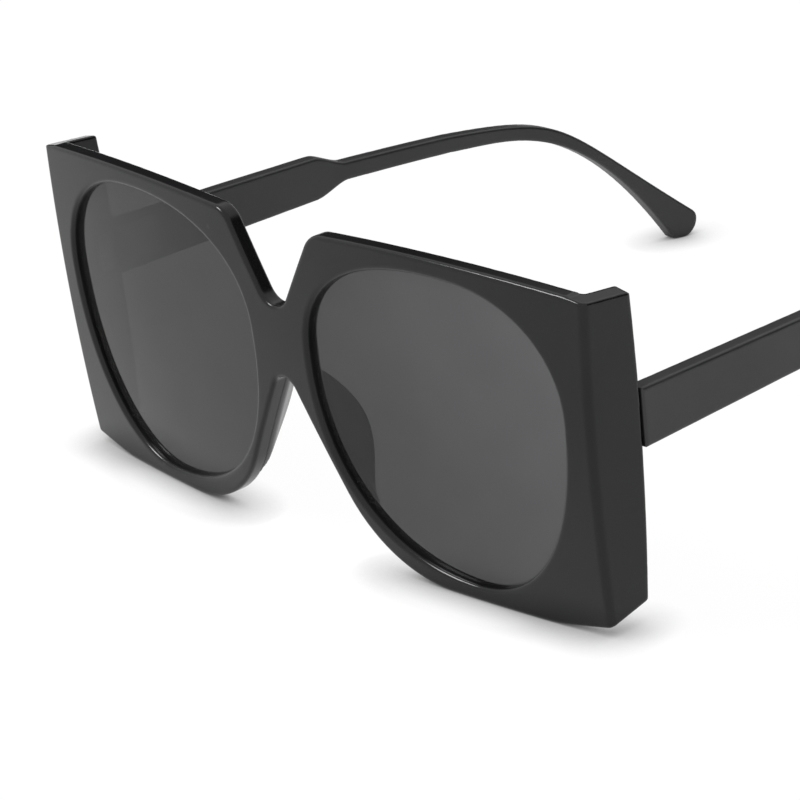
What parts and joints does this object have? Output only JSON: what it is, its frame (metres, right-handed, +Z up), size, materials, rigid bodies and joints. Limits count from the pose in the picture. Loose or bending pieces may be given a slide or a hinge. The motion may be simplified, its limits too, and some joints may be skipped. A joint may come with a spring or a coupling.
{
  "type": "sunglasses",
  "caption": "Oversized square sunglasses with side shields, oval smoke lenses, a notched bridge, moulded nose pads and stepped temples that fold on three-barrel hinges.",
  "frame": {"origin": "on the mirror plane, at the floor, halfway between the foremost point of the face and the ends of the temple tips", "axes": "+X to the wearer's left, +Y from the face towards the temple tips, +Z up from the floor that the rims and tips rest on"},
  "size_m": [0.1506, 0.1578, 0.0632],
  "materials": {
    "front_plastic": "polished",
    "lens": "polished",
    "pad_plastic": "polished",
    "temple_plastic": "polished",
    "core_metal": "drawn",
    "hinge_metal": "black plated",
    "screw_metal": "black plated"
  },
  "bodies": {
    "front": {"front_frame": "front_plastic", "lens_left": "lens", "nose_pad_left": "pad_plastic", "front_hinge_leaf_left": "hinge_metal", "pivot_screw_left": "screw_metal", "front_leaf_screws_left": "screw_metal", "lens_right": "lens", "nose_pad_right": "pad_plastic", "front_hinge_leaf_right": "hinge_metal", "pivot_screw_right": "screw_metal", "front_leaf_screws_right": "screw_metal"},
    "temple_left_arm": {"temple_left": "temple_plastic", "core_wire_left": "core_metal", "temple_hinge_leaf_left": "hinge_metal", "temple_leaf_screws_left": "screw_metal"},
    "temple_right_arm": {"temple_right": "temple_plastic", "core_wire_right": "core_metal", "temple_hinge_leaf_right": "hinge_metal", "temple_leaf_screws_right": "screw_metal"}
  },
  "joints": [
    {"name": "temple_left_fold", "type": "hinge", "parent": "front", "child": "temple_left_arm", "pos_m": [0.0697, -0.06105, 0.0379], "axis": [0, 0, 1], "range_deg": [0, 82]},
    {"name": "temple_right_fold", "type": "hinge", "parent": "front", "child": "temple_right_arm", "pos_m": [-0.0697, -0.06105, 0.0379], "axis": [0, 0, 1], "range_deg": [-70, 0]}
  ]
}
